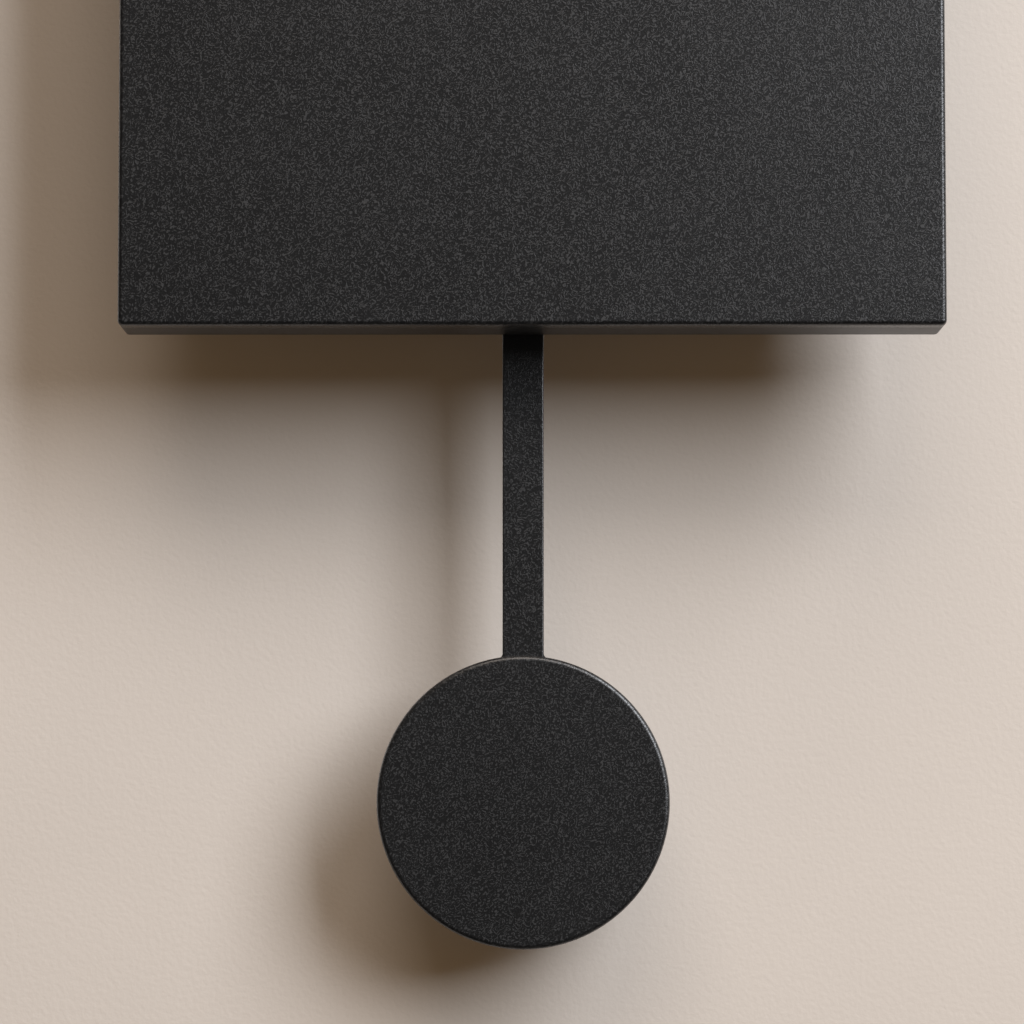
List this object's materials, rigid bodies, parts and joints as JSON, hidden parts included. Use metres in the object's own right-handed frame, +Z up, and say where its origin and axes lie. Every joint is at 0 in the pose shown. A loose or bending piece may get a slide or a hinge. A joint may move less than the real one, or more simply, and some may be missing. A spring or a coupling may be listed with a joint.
{
  "type": "pendulum wall clock",
  "caption": "Wall clock in a flat black box case with bar hands and batons, held off the wall, and a flat-bar pendulum with a round disc bob that hangs behind the case and shows below it.",
  "frame": {"origin": "centre of the hanging keyhole's round entry, in the wall plane at the bracket's rear", "axes": "+X to the right of someone facing the clock, +Y into the wall, +Z up"},
  "size_m": [0.24, 0.0704, 0.5004],
  "materials": {
    "black_powder_coat": "fine textured powder coat on steel",
    "black_satin_coat": "smooth satin powder coat on steel",
    "black_coated_aluminium": "fine textured powder coat on aluminium",
    "bare_aluminium": "sawn",
    "black_steel": "blackened steel",
    "zinc_steel": "zinc plated",
    "nickel_steel": "nickel plated",
    "satin_metal": "satin brushed",
    "rubber": "matt",
    "brass": "turned",
    "black_plastic": "moulded, fine spark texture",
    "white_plastic": "moulded acetal",
    "battery_sleeve": "plain printed sleeve on a steel can",
    "board": "phenolic board",
    "epoxy": "epoxy blob",
    "copper_wire": "enamelled copper winding",
    "magnet": "sintered magnet"
  },
  "bodies": {
    "case": {"front_cover": "black_powder_coat", "case_body": "black_satin_coat", "seam_lip": "black_satin_coat", "cover_posts": "black_powder_coat", "cover_screws": "black_steel", "bracket_plate": "black_satin_coat", "bracket_rails": "black_satin_coat", "bracket_screws": "black_steel", "bracket_nuts": "zinc_steel", "wall_spacers": "bare_aluminium", "spacer_tips": "rubber", "spacer_screws": "zinc_steel", "hanger_plate": "zinc_steel", "hanger_rivets": "zinc_steel", "hour_markers": "satin_metal", "dial_gasket": "rubber", "dial_washer": "brass", "dial_nut": "brass", "movement_housing": "black_plastic", "movement_cover": "black_plastic", "movement_screws": "zinc_steel", "battery": "battery_sleeve", "battery_contact_plus": "nickel_steel", "battery_contact_minus": "nickel_steel", "circuit_board": "board", "control_chip": "epoxy", "quartz_crystal": "nickel_steel", "motor_stator": "nickel_steel", "motor_coil": "copper_wire", "drive_core": "nickel_steel", "drive_coil": "copper_wire", "yoke_pin": "nickel_steel", "pin_clip": "nickel_steel"},
    "minute": {"minute_arbor": "brass", "clutch_spring": "brass", "minute_hand": "satin_metal", "hand_cap": "satin_metal", "setting_knob": "black_plastic"},
    "hour": {"hour_wheel": "white_plastic", "hour_hand": "satin_metal"},
    "motion": {"motion_wheel": "white_plastic"},
    "seconds": {"seconds_wheel": "white_plastic"},
    "third": {"third_wheel": "white_plastic"},
    "centre": {"centre_wheel": "white_plastic"},
    "intermediate": {"intermediate_wheel": "white_plastic"},
    "rotor": {"rotor_pinion": "white_plastic", "rotor_magnet": "magnet"},
    "pendulum": {"pendulum_yoke": "black_plastic", "yoke_magnet": "magnet", "peg_cap": "black_plastic", "rod_hanger": "zinc_steel", "rod_rivets": "zinc_steel", "pendulum_rod": "black_coated_aluminium", "bob_front": "black_coated_aluminium", "bob_back": "black_coated_aluminium", "bob_clamp": "bare_aluminium", "bob_screws": "black_steel"}
  },
  "joints": [
    {"name": "pendulum_swing", "type": "hinge", "parent": "case", "child": "pendulum", "pos_m": [-0.0026, -0.031, -0.126], "axis": [0, 1, 0], "range_deg": [-4.5, 4.5]},
    {"name": "minute_turn", "type": "hinge", "parent": "case", "child": "minute", "pos_m": [0, -0.04, -0.09], "axis": [0, 1, 0], "continuous": true},
    {"name": "hour_turn", "type": "hinge", "parent": "case", "child": "hour", "pos_m": [0, -0.04, -0.09], "axis": [0, 1, 0], "continuous": true},
    {"name": "motion_turn", "type": "hinge", "parent": "case", "child": "motion", "pos_m": [0, -0.04, -0.081], "axis": [0, 1, 0], "continuous": true},
    {"name": "seconds_turn", "type": "hinge", "parent": "case", "child": "seconds", "pos_m": [-0.0107, -0.04, -0.07751], "axis": [0, 1, 0], "continuous": true},
    {"name": "third_turn", "type": "hinge", "parent": "case", "child": "third", "pos_m": [-0.00779, -0.04, -0.0855], "axis": [0, 1, 0], "continuous": true},
    {"name": "centre_turn", "type": "hinge", "parent": "case", "child": "centre", "pos_m": [0, -0.04, -0.09], "axis": [0, 1, 0], "continuous": true},
    {"name": "intermediate_turn", "type": "hinge", "parent": "case", "child": "intermediate", "pos_m": [-0.00312, -0.04, -0.07314], "axis": [0, 1, 0], "continuous": true},
    {"name": "rotor_turn", "type": "hinge", "parent": "case", "child": "rotor", "pos_m": [0.00408, -0.04, -0.07314], "axis": [0, 1, 0], "continuous": true}
  ],
  "couplings": [
    {"joint": "motion_turn", "follows": "minute_turn", "ratio": -0.33333},
    {"joint": "hour_turn", "follows": "minute_turn", "ratio": 0.083333},
    {"joint": "third_turn", "follows": "seconds_turn", "ratio": -0.13333},
    {"joint": "centre_turn", "follows": "seconds_turn", "ratio": 0.016667},
    {"joint": "intermediate_turn", "follows": "seconds_turn", "ratio": -6},
    {"joint": "rotor_turn", "follows": "seconds_turn", "ratio": 30}
  ]
}
